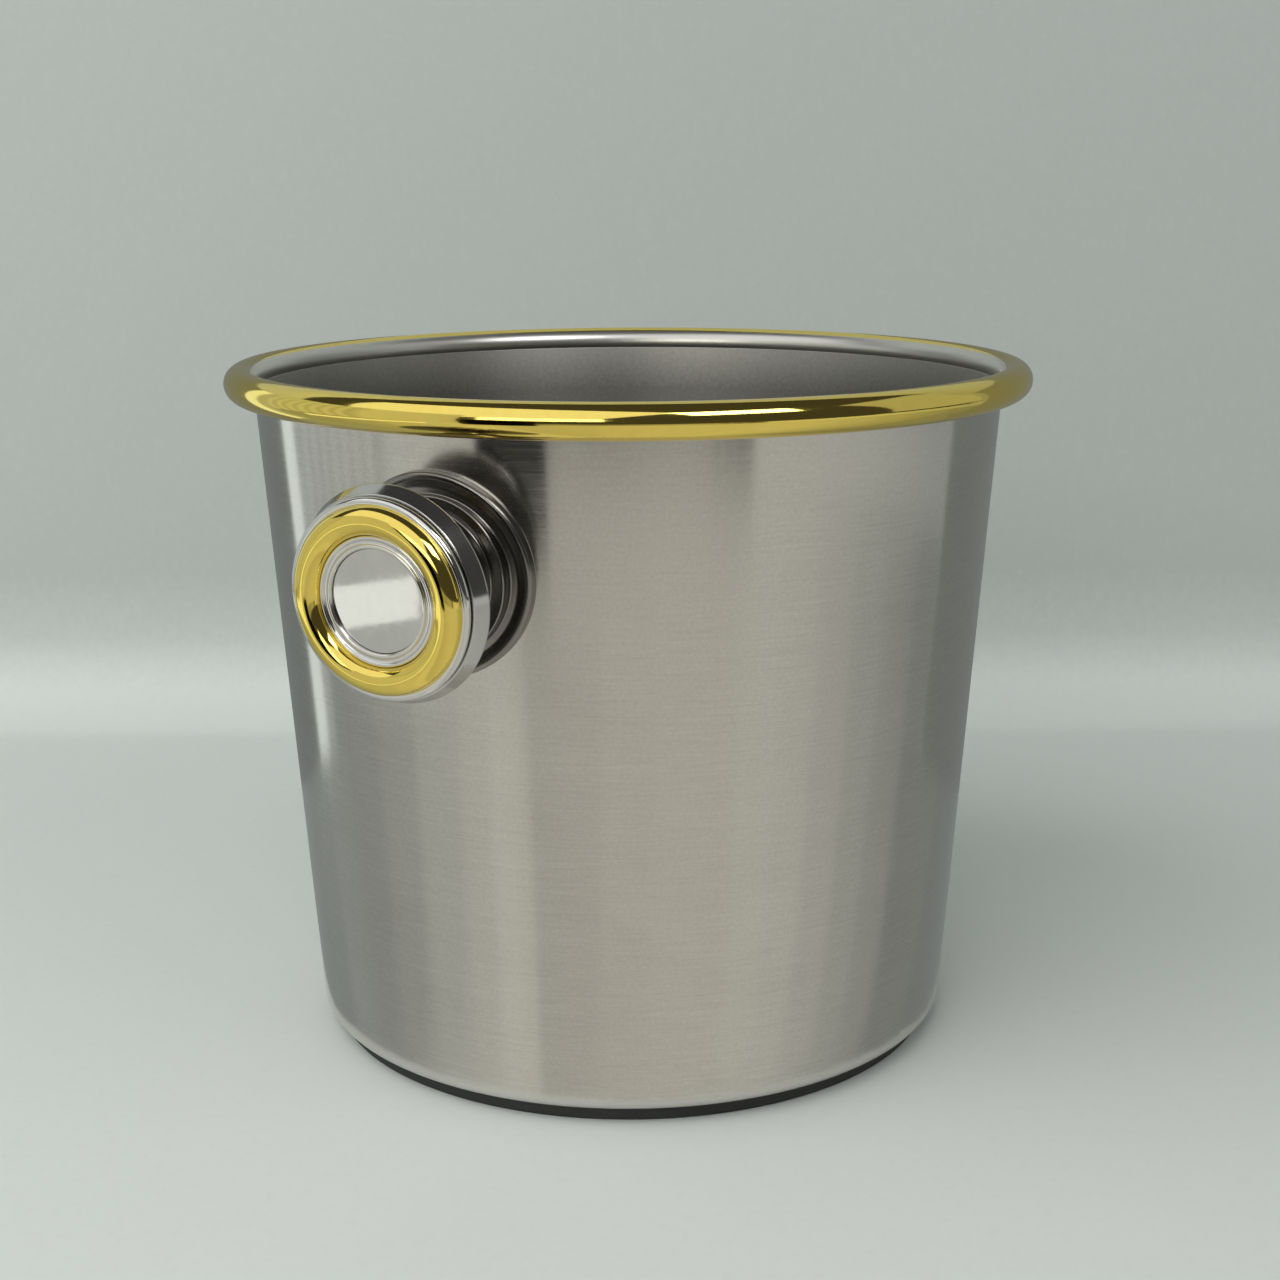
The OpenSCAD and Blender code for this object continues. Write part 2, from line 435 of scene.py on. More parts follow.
@dataclass(frozen=True)
class BackdropPaint:
    """Matt pale grey sheet under and behind the object, which is seen from its front only."""

    floor_colour: Colour = (0.71, 0.742, 0.713)
    # The wall's colour is painted shade: the sheet is painted darker up the wall, where less
    # light falls.
    wall_colour: Colour = (0.52, 0.553, 0.525)
    fade_low: float = 0.015
    fade_high: float = 0.07
    fleck_scale: float = 300.0
    fleck: float = 0.1
    roughness: float = 0.55
    gloss: float = 0.3

    def build(self) -> bpy.types.Material:
        """Makes the material, with painted shade that darkens it up the wall."""
        sheet = NodeSheet("backdrop_paint")
        fleck = sheet.noise((self.fleck_scale,) * 3, detail=4.0)
        rise = sheet.climb(self.fade_low, self.fade_high, fleck, self.fleck)
        sheet.finish({
            "Base Color": sheet.blend(rise, self.floor_colour, self.wall_colour),
            "Roughness": self.roughness,
            "Specular IOR Level": self.gloss,
        })
        facing = sheet.node("ShaderNodeNewGeometry").outputs["Backfacing"]
        clear = sheet.node("ShaderNodeBsdfTransparent").outputs[0]
        paint = sheet.shader.outputs[0]
        mix = sheet.node("ShaderNodeMixShader", {0: facing, 1: paint, 2: clear})
        feed(sheet.tree.nodes["Material Output"].inputs["Surface"], mix.outputs[0])
        return sheet.material


class FinishBook:
    """Every finish of the object, built once."""

    def __init__(self) -> None:
        """Builds the materials."""
        finishes = [
            SatinSteel(),
            PolishedMetal(
                Slot.GILT, (0.97, 0.77, 0.19), (0.93, 0.72, 0.16), 0.07,
                recess_colour=(0.72, 0.71, 0.67), recess_roughness=0.25,
            ),
            PolishedMetal(Slot.CHROME, (0.78, 0.78, 0.77), (0.73, 0.73, 0.72), 0.08),
            PolishedMetal(Slot.MIRROR, (0.72, 0.72, 0.71), (0.68, 0.68, 0.67), 0.04),
            MouldedRubber(Slot.FOOT),
            MouldedRubber(Slot.SEAL, (0.02, 0.02, 0.02), (0.035, 0.035, 0.035)),
            TurnedSteel(),
        ]
        self.materials = {finish.slot: finish.build() for finish in finishes}

    def dress(self, node: str, slot: Slot) -> None:
        """Gives a carried-over node its finish.

        Args:
            node: The node's name.
            slot: The finish's slot.
        """
        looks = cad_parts[node].data.materials
        looks.clear()
        looks.append(self.materials[slot])


# ---- outlines


@dataclass(frozen=True)
class Mark:
    """One point of an outline, in millimetres, with its rounding and its traits.

    Follow bends the surface to the bucket's wall, inner gives it its finish's second look
    (painted shade and light inside the steel wall, painted shade on the chrome behind a knob,
    bare steel on the rim), and flats cuts it to the nut's six sides.
    """

    r: float
    z: float
    fillet: float = 0.0
    follow: float = 0.0
    inner: float = 0.0
    flats: float = 0.0


@dataclass
class Outline:
    """Half section of a turned piece: r is the distance from the axis, z runs along it."""

    marks: list[Mark] = field(default_factory=list)
    closed: bool = True
    arc_step: float = math.radians(11.25)
    longest_fillet: float = 0.45
    support: float = 0.12
    longest_support: float = 0.2

    def corners(self, *rows: tuple[float, ...], **traits: float) -> "Outline":
        """Adds corners, each as r, z and any radius that rounds it, and gives the outline."""
        self.marks += [Mark(*row, **traits) for row in rows]
        return self

    def arc(
        self, r: float, z: float, radius: float, start: float, end: float, **traits: float
    ) -> None:
        """Adds points on an arc.

        Args:
            r: The arc's centre, from the axis.
            z: The arc's centre, along the axis.
            radius: The arc's radius.
            start: First angle in degrees, from outwards towards +z.
            end: Last angle in degrees.
            traits: Traits of the surface there.
        """
        first, last = math.radians(start), math.radians(end)
        count = max(2, round(abs(last - first) / self.arc_step))
        for step in range(count + 1):
            angle = first + (last - first) * step / count
            point = (r + radius * math.cos(angle), z + radius * math.sin(angle))
            self.marks.append(Mark(*point, **traits))

    def _rounded(self, before: Mark, mark: Mark, after: Mark) -> list[Mark]:
        """Points that round one corner, with a support point on each side.

        Args:
            before: The corner's neighbour on one side.
            mark: The corner.
            after: The neighbour on the other side.

        Returns:
            The points in order.
        """
        here = Vector((mark.r, mark.z))
        back, ahead = Vector((before.r, before.z)) - here, Vector((after.r, after.z)) - here
        half = back.angle(ahead) / 2
        longest = self.longest_fillet * min(back.length, ahead.length)
        reach = min(mark.fillet / math.tan(half), longest)
        radius = reach * math.tan(half)
        between = (back.normalized() + ahead.normalized()).normalized()
        centre = here + between * (radius / math.sin(half))
        first = here + back.normalized() * reach - centre
        turn = first.angle_signed(here + ahead.normalized() * reach - centre)
        count = max(2, round(abs(turn) / self.arc_step))
        points = []
        for step in range(count + 1):
            arm = first.copy()
            arm.rotate(Matrix.Rotation(-turn * step / count, 2))
            points.append(centre + arm)
        for side, arm, end in ((back, 0, 0), (ahead, -1, len(points) + 1)):
            extra = min(self.support, self.longest_support * max(side.length - reach, 0.0))
            points.insert(end, points[arm] + side.normalized() * extra)
        return [replace(mark, r=point.x, z=point.y, fillet=0.0) for point in points]

    def points(self) -> list[Mark]:
        """The outline's points with every corner rounded."""
        marks, count, made = self.marks, len(self.marks), []
        for index, mark in enumerate(marks):
            before, after = marks[index - 1], marks[(index + 1) % count]
            made += self._rounded(before, mark, after) if mark.fillet > 0 else [mark]
        return made


# ---- turned solids


class TurningLathe:
    """Geometry Nodes that turn an outline about +Z, with a saddle base and flats where asked."""

    TRAITS = ("follow", "inner", "flats")
    FLAT_COUNT = 6.0
    WELD = 0.002 * MM

    def __init__(self) -> None:
        """Builds the node tree."""
        self.tree = bpy.data.node_groups.new("turning_lathe", "GeometryNodeTree")
        face = self.tree.interface
        face.new_socket("Outline", in_out="INPUT", socket_type="NodeSocketGeometry")
        self.inputs = {
            name: face.new_socket(name, in_out="INPUT", socket_type=kind).identifier
            for name, kind in (
                ("Segments", "NodeSocketInt"),
                ("Wall Radius", "NodeSocketFloat"),
                ("Flat Count", "NodeSocketFloat"),
                ("Flat Distance", "NodeSocketFloat"),
                ("Finish", "NodeSocketMaterial"),
            )
        }
        face.new_socket("Solid", in_out="OUTPUT", socket_type="NodeSocketGeometry")
        self._wire()

    def _step(self, kind: str, inputs: Inputs | None = None, **settings: object) -> Socket:
        """Adds a node, as add_node does, and gives its first output."""
        return add_node(self.tree, kind, inputs, **settings).outputs[0]

    def _math(self, operation: str, *terms: object) -> Socket:
        """Adds a math node whose terms are sockets or numbers, and gives its result."""
        return self._step("ShaderNodeMath", dict(enumerate(terms)), operation=operation)

    def _trait(self, name: str) -> Socket:
        """Reads one of the outline's traits as a field."""
        return self._step("GeometryNodeInputNamedAttribute", {"Name": name}, data_type="FLOAT")

    def _wire(self) -> None:
        """Joins the nodes: turn, flats, saddle, weld, shade and dress."""
        step, calc = self._step, self._math
        given = add_node(self.tree, "NodeGroupInput").outputs
        profile = step("GeometryNodeMeshToCurve", {"Mesh": given["Outline"]})
        circle = {"Radius": 1.0, "Resolution": given["Segments"]}
        path = step("GeometryNodeCurvePrimitiveCircle", circle)
        level = step("GeometryNodeSetCurveNormal", {"Curve": path}, mode="Z_UP")
        sweep = step("GeometryNodeCurveToMesh", {"Curve": level, "Profile Curve": profile})

        place = step("GeometryNodeInputPosition")
        x, y, z = add_node(self.tree, "ShaderNodeSeparateXYZ", {"Vector": place}).outputs
        y_squared = calc("MULTIPLY", y, y)
        radius = calc("SQRT", calc("ADD", calc("MULTIPLY", x, x), y_squared))
        sector = calc("DIVIDE", 2 * math.pi, given["Flat Count"])
        swing = calc("FLOORED_MODULO", calc("ARCTAN2", y, x), sector)
        centred = calc("SUBTRACT", swing, calc("MULTIPLY", sector, 0.5))
        flat = calc("DIVIDE", given["Flat Distance"], calc("COSINE", centred))
        ratio = calc("MINIMUM", 1.0, calc("DIVIDE", flat, radius))
        change = calc("MULTIPLY", self._trait("flats"), calc("SUBTRACT", ratio, 1.0))

        wall = given["Wall Radius"]
        depth = calc("SQRT", calc("SUBTRACT", calc("MULTIPLY", wall, wall), y_squared))
        drop = calc("SUBTRACT", depth, wall)
        offset = step("ShaderNodeCombineXYZ", {
            "X": calc("MULTIPLY", x, change),
            "Y": calc("MULTIPLY", y, change),
            "Z": calc("MULTIPLY", drop, self._trait("follow")),
        })
        shift = step("GeometryNodeSetPosition", {"Geometry": sweep, "Offset": offset})
        weld = step("GeometryNodeMergeByDistance", {"Geometry": shift, "Distance": self.WELD})
        smooth = step("GeometryNodeSetShadeSmooth", {"Geometry": weld})
        whole = step("GeometryNodeRealizeInstances", {"Geometry": smooth})
        dress = {"Geometry": whole, "Material": given["Finish"]}
        solid = step("GeometryNodeSetMaterial", dress)
        add_node(self.tree, "NodeGroupOutput", {"Solid": solid})

    def turn(
        self,
        name: str,
        outline: Outline,
        finish: bpy.types.Material,
        segments: int = 256,
        wall_radius: float = 1000.0,
        flat_distance: float = 1000.0,
        place: Matrix | None = None,
    ) -> bpy.types.Object:
        """Turns an outline into a finished solid.

        Args:
            name: The piece's name.
            outline: Its half section.
            finish: Its material.
            segments: Steps round the axis.
            wall_radius: Radius of the wall that its base is shaped to, in millimetres.
            flat_distance: Distance from the axis to a flat, in millimetres.
            place: Where the piece goes, from its own axis.

        Returns:
            The piece, as a plain mesh with its place in the mesh.
        """
        piece = self._outline_object(name, outline)
        lathe = piece.modifiers.new("turning_lathe", "NODES")
        lathe.node_group = self.tree
        for key, value in (
            ("Segments", segments),
            ("Wall Radius", wall_radius * MM),
            ("Flat Count", self.FLAT_COUNT),
            ("Flat Distance", flat_distance * MM),
            ("Finish", finish),
        ):
            lathe[self.inputs[key]] = value
        graph = bpy.context.evaluated_depsgraph_get()
        solid = bpy.data.meshes.new_from_object(piece.evaluated_get(graph))
        piece.modifiers.clear()
        piece.data = solid
        self._set_down(solid, place or Matrix.Identity(4))
        return piece

    def _outline_object(self, name: str, outline: Outline) -> bpy.types.Object:
        """Makes the object that holds an outline's points and traits.

        Args:
            name: The object's name.
            outline: The outline.

        Returns:
            An object whose mesh is the outline as edges, drawn round the lathe's unit circle.
        """
        marks = outline.points()
        count = len(marks)
        edges = [(i, i + 1) for i in range(count - 1)]
        if outline.closed:
            edges.append((count - 1, 0))
        mesh = bpy.data.meshes.new(name)
        mesh.from_pydata([(m.r * MM - 1.0, -m.z * MM, 0.0) for m in marks], edges, [])
        for trait in self.TRAITS:
            values = mesh.attributes.new(trait, "FLOAT", "POINT")
            values.data.foreach_set("value", [getattr(m, trait) for m in marks])
        return add_object(name, mesh)

    @staticmethod
    def _set_down(solid: bpy.types.Mesh, place: Matrix) -> None:
        """Puts a solid in its place and points its faces outwards.

        Args:
            solid: The mesh.
            place: Where it goes.
        """
        work = bmesh.new()
        work.from_mesh(solid)
        bmesh.ops.transform(work, matrix=place, verts=work.verts)
        bmesh.ops.recalc_face_normals(work, faces=work.faces)
        work.to_mesh(solid)
        work.free()


# ---- the bucket


def deliver(piece: bpy.types.Object, slot: Slot, *nodes: str) -> None:
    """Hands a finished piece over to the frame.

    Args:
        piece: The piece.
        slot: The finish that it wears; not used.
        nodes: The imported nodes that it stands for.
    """
    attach(piece, BODY)
    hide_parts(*nodes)
    log.info("%s: %d faces", piece.name, len(piece.data.polygons))


@dataclass
class Vessel:
    """The spun wall, the gilt rim tube and the foot pad, in millimetres."""

    lathe: TurningLathe
    book: FinishBook
    wall_t: float = 0.9
    corner_r: float = 3.5
    edge_r: float = 0.15
    bottom_r: float = 96.6
    segments: int = 384
    wall_levels: int = 24
    floor_rings: tuple[float, ...] = (0.25, 0.5, 0.75)
    gilt_end: float = 125.0
    bare_start: float = 130.0
    foot_standing: float = 16.0
    foot_recess: float = 1.2
    foot_chamfer: float = 0.6
    foot_edge_r: float = 0.2
    foot_segments: int = 256
    grip_grooves: int = 3
    grip_w: float = 1.4
    grip_depth: float = 0.5
    grip_edge_r: float = 0.1

    def __post_init__(self) -> None:
        """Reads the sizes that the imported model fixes."""
        low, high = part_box("bucket_shell")
        self.shell_bottom = low.z / MM
        self.shell_top = high.z / MM
        self.top_r = high.x / MM
        low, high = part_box("rim_tube")
        self.rim_section = (high.z - low.z) / 2 / MM
        self.rim_r = high.x / MM - self.rim_section
        self.rim_z = high.z / MM - self.rim_section
        low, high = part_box("foot_pad")
        self.foot_r = high.x / MM
        self.foot_h = high.z / MM
        self.slope = (self.top_r - self.bottom_r) / (self.shell_top - self.shell_bottom)
        self.angle = math.atan(self.slope)

    def wall_r(self, z: float) -> float:
        """Outer radius of the wall at a height."""
        return self.bottom_r + self.slope * (z - self.shell_bottom)

    def build(self) -> None:
        """Makes and delivers the three pieces."""
        for name, outline, slot, segments, node in (
            ("bucket_wall", self.shell(), Slot.STEEL, self.segments, "bucket_shell"),
            ("gilt_rim", self.rim(), Slot.GILT, self.segments, "rim_tube"),
            ("grip_foot", self.foot(), Slot.FOOT, self.foot_segments, "foot_pad"),
        ):
            piece = self.lathe.turn(name, outline, self.book.materials[slot], segments)
            deliver(piece, slot, node)

    def shell(self) -> Outline:
        """The spun wall and floor, one thin sheet with a rounded lower edge."""
        inset = self.wall_t / math.cos(self.angle)
        bottom, top, floor = self.shell_bottom, self.shell_top, self.shell_bottom + self.wall_t
        levels = self.wall_levels
        heights = [bottom + (top - bottom) * step / levels for step in range(1, levels)]
        rings = [self.bottom_r * share for share in (0.0, *self.floor_rings)]
        outline = Outline(closed=False, arc_step=math.radians(6))
        outline.corners(
            *((ring, bottom) for ring in rings),
            (self.bottom_r, bottom, self.corner_r),
            *((self.wall_r(z), z) for z in heights),
            (self.top_r, top, self.edge_r),
        )
        # The inside: its inner trait gives the steel a duller inside, with painted shade deep
        # down and painted light at the lip.
        outline.corners(
            (self.top_r - inset, top, self.edge_r),
            *((self.wall_r(z) - inset, z) for z in reversed(heights)),
            (self.wall_r(floor) - inset, floor, self.corner_r - self.wall_t),
            *((ring, floor) for ring in reversed(rings)),
            inner=1.0,
        )
        return outline

    def rim(self) -> Outline:
        """The tube round the mouth: gilt outside and on top, bare steel inside."""
        tube = (self.rim_r, self.rim_z, self.rim_section)
        outline = Outline(arc_step=math.radians(5))
        outline.arc(*tube, -90, self.gilt_end)
        outline.arc(*tube, self.bare_start, 265, inner=1.0)
        return outline

    def foot(self) -> Outline:
        """The black pad with a grooved standing ring."""
        standing_in = self.foot_r - self.foot_standing
        pitch = self.foot_standing / (self.grip_grooves + 1)
        outline = Outline(closed=False).corners(
            (0.0, self.foot_recess),
            (standing_in, self.foot_recess, self.foot_edge_r),
            (standing_in, 0.0, self.foot_chamfer),
        )
        for index in range(1, self.grip_grooves + 1):
            middle = standing_in + index * pitch
            near, far = middle - self.grip_w / 2, middle + self.grip_w / 2
            groove = ((near, 0.0), (near, self.grip_depth), (far, self.grip_depth), (far, 0.0))
            outline.corners(*((*corner, self.grip_edge_r) for corner in groove))
        outline.corners(
            (self.foot_r, 0.0, self.foot_chamfer),
            (self.foot_r, self.foot_h, self.foot_edge_r),
            (0.0, self.foot_h),
        )
        return outline


# ---- the handles


@dataclass
class KnobHandle:
    """One knob handle: rosette, neck, knob, gilt ring, bezel, mirror and fasteners.

    Distances along the axis are measured outwards from the wall's outer face, in millimetres.
    """

    lathe: TurningLathe
    book: FinishBook
    vessel: Vessel
    side: Side
    bore: float = 3.25
    seam: float = 0.05
    rosette_r: float = 27.0
    rosette_t: float = 1.6
    edge_h: float = 1.0
    edge_w: float = 1.9
    dish_depth: float = 0.3
    boss_r: float = 21.0
    boss_h: float = 2.8
    ring_r: float = 18.2
    ring_h: float = 1.2
    collar_r: float = 14.0
    waist_r: float = 9.5
    knob_r: float = 28.4
    front_r: float = 26.3
    knob_back: float = 20.3
    recess_in: float = 1.5
    recess_out: float = 3.0
    recess_slope: float = 0.7
    recess_depth: float = 0.5
    band_w: float = 4.9
    # Share of the chrome's painted shade on the knob's band.
    band_shade: float = 0.3
    plate_t: float = 5.5
    groove_w: float = 0.5
    groove_depth: float = 1.2
    bead_inset: float = 0.4
    bead_r: float = 1.3
    gilt_r: float = 20.4
    gilt_section: float = 3.7
    gilt_lift: float = 1.4
    mirror_r: float = 13.3
    mirror_t: float = 1.6
    mirror_crown: float = 0.12
    bezel_h: float = 1.9
    lip_r: float = 0.6
    lip_reach: float = 2.6
    washer_r: float = 9.0
    washer_t: float = 1.2
    seal_t: float = 1.5
    nut_flats: float = 10.0
    nut_hex_h: float = 5.0
    nut_dome_h: float = 4.0
    nut_chamfer: float = 0.5

    def __post_init__(self) -> None:
        """Finds the knob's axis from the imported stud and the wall."""
        low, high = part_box("right_stud")
        middle = (low + high) / 2 / MM
        slope = self.vessel.slope
        self.wall_z = (middle.z + (middle.x - self.vessel.wall_r(0)) * slope) / (
            1 + slope * slope
        )
        self.wall_radius = self.vessel.wall_r(self.wall_z)
        self.seat = self.knob_back + self.plate_t

    def place(self) -> Matrix:
        """Carries the handle's axis, +Z from the wall outwards, to its place on the bucket."""
        at_wall = Matrix.Translation(Vector((self.wall_radius, 0, self.wall_z)) * MM)
        lean = Matrix.Rotation(math.pi / 2 + self.vessel.angle, 4, "Y")
        return Matrix.Rotation(self.side.turn, 4, "Z") @ at_wall @ lean

    def turn(self, name: str, outline: Outline, slot: Slot, **options: float) -> None:
        """Turns one piece of the handle and delivers it.

        Args:
            name: The node that the piece stands for, without its side.
            outline: The piece's half section.
            slot: Its finish.
            options: Anything more for the lathe.
        """
        label = f"{self.side.label}_{name}"
        metal = self.book.materials[slot]
        piece = self.lathe.turn(f"{label}_turned", outline, metal, place=self.place(), **options)
        deliver(piece, slot, label)

    def build(self) -> None:
        """Makes the handle from the wall outwards, then what holds it inside."""
        self.turn("rosette", self.rosette(), Slot.CHROME, wall_radius=self.wall_radius)
        self.turn("neck", self.neck(), Slot.CHROME)
        self.turn("knob_body", self.knob(), Slot.CHROME)
        self.turn("gilt_ring", self.gilt_ring(), Slot.GILT)
        self.turn("bezel", self.bezel(), Slot.CHROME)
        self.turn("mirror_disc", self.mirror(), Slot.MIRROR)
        self.turn("steel_washer", self.washer(), Slot.PLAIN, segments=96)
        half_flats = self.nut_flats / 2
        self.turn("cap_nut", self.cap_nut(), Slot.PLAIN, segments=144, flat_distance=half_flats)
        seal, plain = Slot.SEAL, Slot.PLAIN
        for name, slot in (("rosette_gasket", seal), ("seal_washer", seal), ("stud", plain)):
            self.book.dress(f"{self.side.label}_{name}", slot)

    def rosette(self) -> Outline:
        """Saddle plate with a rolled edge, a dish and a flat boss."""
        crown = self.rosette_t + self.edge_h
        dish_r = self.rosette_r - self.edge_w
        boss = ((self.bore, self.boss_h, 0.2), (self.boss_r, self.boss_h, 0.5))
        # The whole rosette takes the chrome's painted shade, the dark of the gap behind the knob.
        return Outline().corners(*boss, inner=1.0).corners(
            (self.boss_r + 0.3, self.rosette_t, 0.4),
            ((self.boss_r + dish_r) / 2, self.rosette_t - self.dish_depth, 2.0),
            (dish_r, self.rosette_t, 0.3),
            (dish_r + 0.2, crown, 0.8),
            (self.rosette_r, crown, 1.1),
            (self.rosette_r, self.seam, 0.2),
            (self.bore, self.seam),
            inner=1.0, follow=1.0,
        )

    def neck(self) -> Outline:
        """Turned stem with two rings at its foot and a drawn-in waist."""
        ring_top = self.boss_h + self.ring_h
        rings_end = self.boss_h + 2 * self.ring_h
        upper_ring = (self.ring_r + self.collar_r) / 2
        arc_r = (self.knob_back - rings_end) / 2
        reach = math.degrees(math.acos(1 - (self.collar_r - self.waist_r) / arc_r))
        waist = (self.waist_r + arc_r, self.knob_back - arc_r, arc_r)
        # The neck takes the chrome's painted shade all over.
        outline = Outline().corners(
            (self.bore, self.boss_h),
            (self.ring_r, self.boss_h, 0.2),
            (self.ring_r, ring_top, 0.45),
            (upper_ring, ring_top, 0.15),
            (upper_ring, rings_end, 0.45),
            (self.collar_r, rings_end, 0.15),
            inner=1.0,
        )
        outline.arc(*waist, 180 + reach, 180 - reach, inner=1.0)
        outline.corners((self.collar_r, self.knob_back), (self.bore, self.knob_back), inner=1.0)
        return outline

    def knob(self) -> Outline:
        """Knob plate with a recess behind, a tapered band, a groove and a polished bead."""
        back, band_top = self.knob_back, self.knob_back + self.band_w
        sunk = back + self.recess_depth
        recess_in, recess_out = self.collar_r + self.recess_in, self.knob_r - self.recess_out
        groove_r = self.front_r - self.groove_depth
        bead_r = self.front_r - self.bead_inset - self.bead_r
        bead_z = band_top + self.groove_w + self.bead_r / 2
        # The recess behind the knob takes the chrome's painted shade.
        outline = Outline().corners(
            (self.bore, back),
            (recess_in, back, 0.3),
            (recess_in + self.recess_slope, sunk, 0.3),
            (recess_out, sunk, 0.3),
            (recess_out + self.recess_slope, back, 0.3),
            inner=1.0,
        )
        # The band takes part of the chrome's painted shade and the groove all of it.
        outline.corners(
            (self.knob_r, back, 0.7), (self.front_r, band_top, 0.3), inner=self.band_shade
        )
        outline.corners(
            (groove_r, band_top, 0.1), (groove_r, band_top + self.groove_w, 0.1), inner=1.0
        )
        outline.arc(bead_r, bead_z, self.bead_r, -25, 150)
        gilt_edge = self.gilt_r + self.gilt_section + self.seam
        outline.corners((gilt_edge, self.seat, 0.1), (self.bore, self.seat))
        return outline

    def gilt_ring(self) -> Outline:
        """Fat half-round ring seated on the knob."""
        lift = math.degrees(math.asin(self.gilt_lift / self.gilt_section))
        section = (self.gilt_r, self.seat + self.gilt_lift, self.gilt_section)
        outline = Outline(arc_step=math.radians(6))
        outline.arc(*section, -lift, 180 + lift)
        return outline

    def bezel(self) -> Outline:
        """Flat ring with a raised lip at each edge."""
        top, lip = self.seat + self.bezel_h, self.lip_r
        inner, outer = self.mirror_r, self.gilt_r - self.gilt_section
        flat = self.lip_reach * lip
        outline = Outline(arc_step=math.radians(15))
        outline.corners((inner, self.seat), (outer, self.seat))
        outline.arc(outer - lip, top, lip, 0, 165)
        outline.corners((outer - flat, top, 0.3), (inner + flat, top, 0.3))
        outline.arc(inner + lip, top, lip, 15, 180)
        return outline

    def mirror(self) -> Outline:
        """Polished disc in the bezel."""
        edge, top, crown = self.mirror_r - self.seam, self.seat + self.mirror_t, self.mirror_crown
        return Outline(closed=False).corners(
            (0.0, self.seat),
            (edge, self.seat),
            (edge, top - crown, 0.25),
            *(
                (self.mirror_r * share, top - crown * share * share)
                for share in (0.75, 0.5, 0.25, 0.0)
            ),
        )

    def washer(self) -> Outline:
        """Flat washer under the nut."""
        face = -self.vessel.wall_t - self.seal_t
        back = face - self.washer_t
        return Outline().corners(
            (self.bore, back, 0.1),
            (self.bore, face, 0.1),
            (self.washer_r, face, 0.2),
            (self.washer_r, back, 0.3),
        )

    def cap_nut(self) -> Outline:
        """Domed hexagon nut with chamfered corners, its dome towards the bucket's middle."""
        seat = -self.vessel.wall_t - self.seal_t - self.washer_t
        hex_end = seat - self.nut_hex_h
        corner_r = self.nut_flats / 2 / math.cos(math.pi / 6)
        flat_r = self.nut_flats / 2 - 0.15
        dome_r = self.nut_flats / 2 - 0.3
        chamfer, side = self.nut_chamfer, self.nut_hex_h - 2 * self.nut_chamfer
        outline = Outline(closed=False)
        outline.arc(0, hex_end - self.nut_dome_h / 2, dome_r, -90, 0)
        outline.corners((dome_r, hex_end, 0.3))
        outline.corners(
            (flat_r, hex_end, 0.1),
            *(
                (flat_r + (corner_r - flat_r) * share, hex_end + chamfer * share)
                for share in (0.25, 0.5, 0.75, 1.0)
            ),
            *((corner_r, hex_end + chamfer + side * share) for share in (0.5, 1.0)),
            (flat_r, seat, 0.1),
            flats=1.0,
        )
        outline.corners((0.0, seat))
        return outline


# ---- the studio


@dataclass(frozen=True)
class Viewpoint:
    """The camera: where it stands round the bucket, and how it is aimed."""

    handle_angle: float = 27.3
    distance: float = 0.5911
    height: float = 0.2552
    pitch: float = 0.2349
    yaw: float = 0.0051
    roll: float = -0.0049
    lens: float = 55.65
    sensor: float = 36.0

    @property
    def turn(self) -> Matrix:
        """Carries the studio's own axes, camera towards -Y, to the bucket's axes."""
        return Matrix.Rotation(-math.radians(90 - self.handle_angle), 4, "Z")

    def build(self) -> None:
        """Makes the camera and sets it."""
        data = bpy.data.cameras.new("studio_camera")
        data.lens, data.sensor_width = self.lens, self.sensor
        camera = add_object("studio_camera", data)
        forward = math.cos(self.pitch)
        ahead = Vector((
            math.sin(self.yaw) * forward, math.cos(self.yaw) * forward, -math.sin(self.pitch)
        ))
        right = ahead.cross(Vector((0, 0, 1))).normalized()
        up = right.cross(ahead)
        level = math.cos(self.roll) * right + math.sin(self.roll) * up
        upright = level.cross(ahead)
        axes = Matrix((level, upright, -ahead)).transposed().to_4x4()
        stand = Matrix.Translation((0, -self.distance, self.height))
        camera.matrix_world = self.turn @ stand @ axes
        bpy.context.scene.camera = camera


